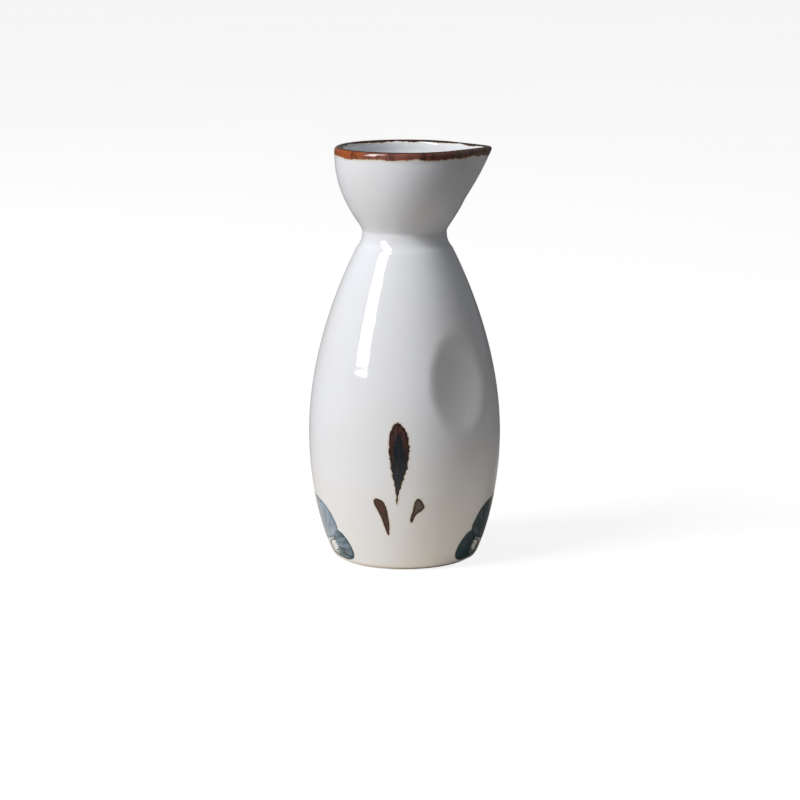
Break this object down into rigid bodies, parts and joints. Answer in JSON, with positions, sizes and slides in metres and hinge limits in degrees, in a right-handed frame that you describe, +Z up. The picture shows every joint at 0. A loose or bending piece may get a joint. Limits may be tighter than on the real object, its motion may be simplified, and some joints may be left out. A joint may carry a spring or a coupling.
{
  "type": "sake bottle",
  "caption": "Glazed stoneware sake bottle with an egg-shaped belly, thumb hollows, narrow throat and a flared mouth pinched to a pouring lip, with brushed leaves and foot flowers.",
  "frame": {"origin": "centre of the foot ring, on the surface the bottle stands on", "axes": "+Z up along the axis of turning; +X towards the pouring lip; -Y towards the front, where the tall leaf is painted"},
  "size_m": [0.0621, 0.0624, 0.134],
  "materials": {
    "clay": "fired stoneware, matt, bare only at the foot ring and base",
    "white_glaze": "glossy white glaze, faintly blue",
    "iron_glaze": "glossy iron-brown lip wash",
    "iron_brush": "iron-brown brush stroke under gloss",
    "cobalt_brush": "cobalt-blue brush stroke under gloss"
  },
  "bodies": {
    "root": {"foot_and_floor": "clay", "belly_wall": "clay", "mouth_funnel": "clay", "outer_glaze": "white_glaze", "inner_glaze": "white_glaze", "iron_rim_band": "iron_glaze", "leaf_tall_front": "iron_brush", "leaf_left_front": "iron_brush", "leaf_right_front": "iron_brush", "leaf_tall_back": "iron_brush", "leaf_left_back": "iron_brush", "leaf_right_back": "iron_brush", "petal_fore_left": "cobalt_brush", "petal_top_left": "cobalt_brush", "petal_rear_left": "cobalt_brush", "petal_fore_right": "cobalt_brush", "petal_top_right": "cobalt_brush", "petal_rear_right": "cobalt_brush"}
  },
  "joints": []
}
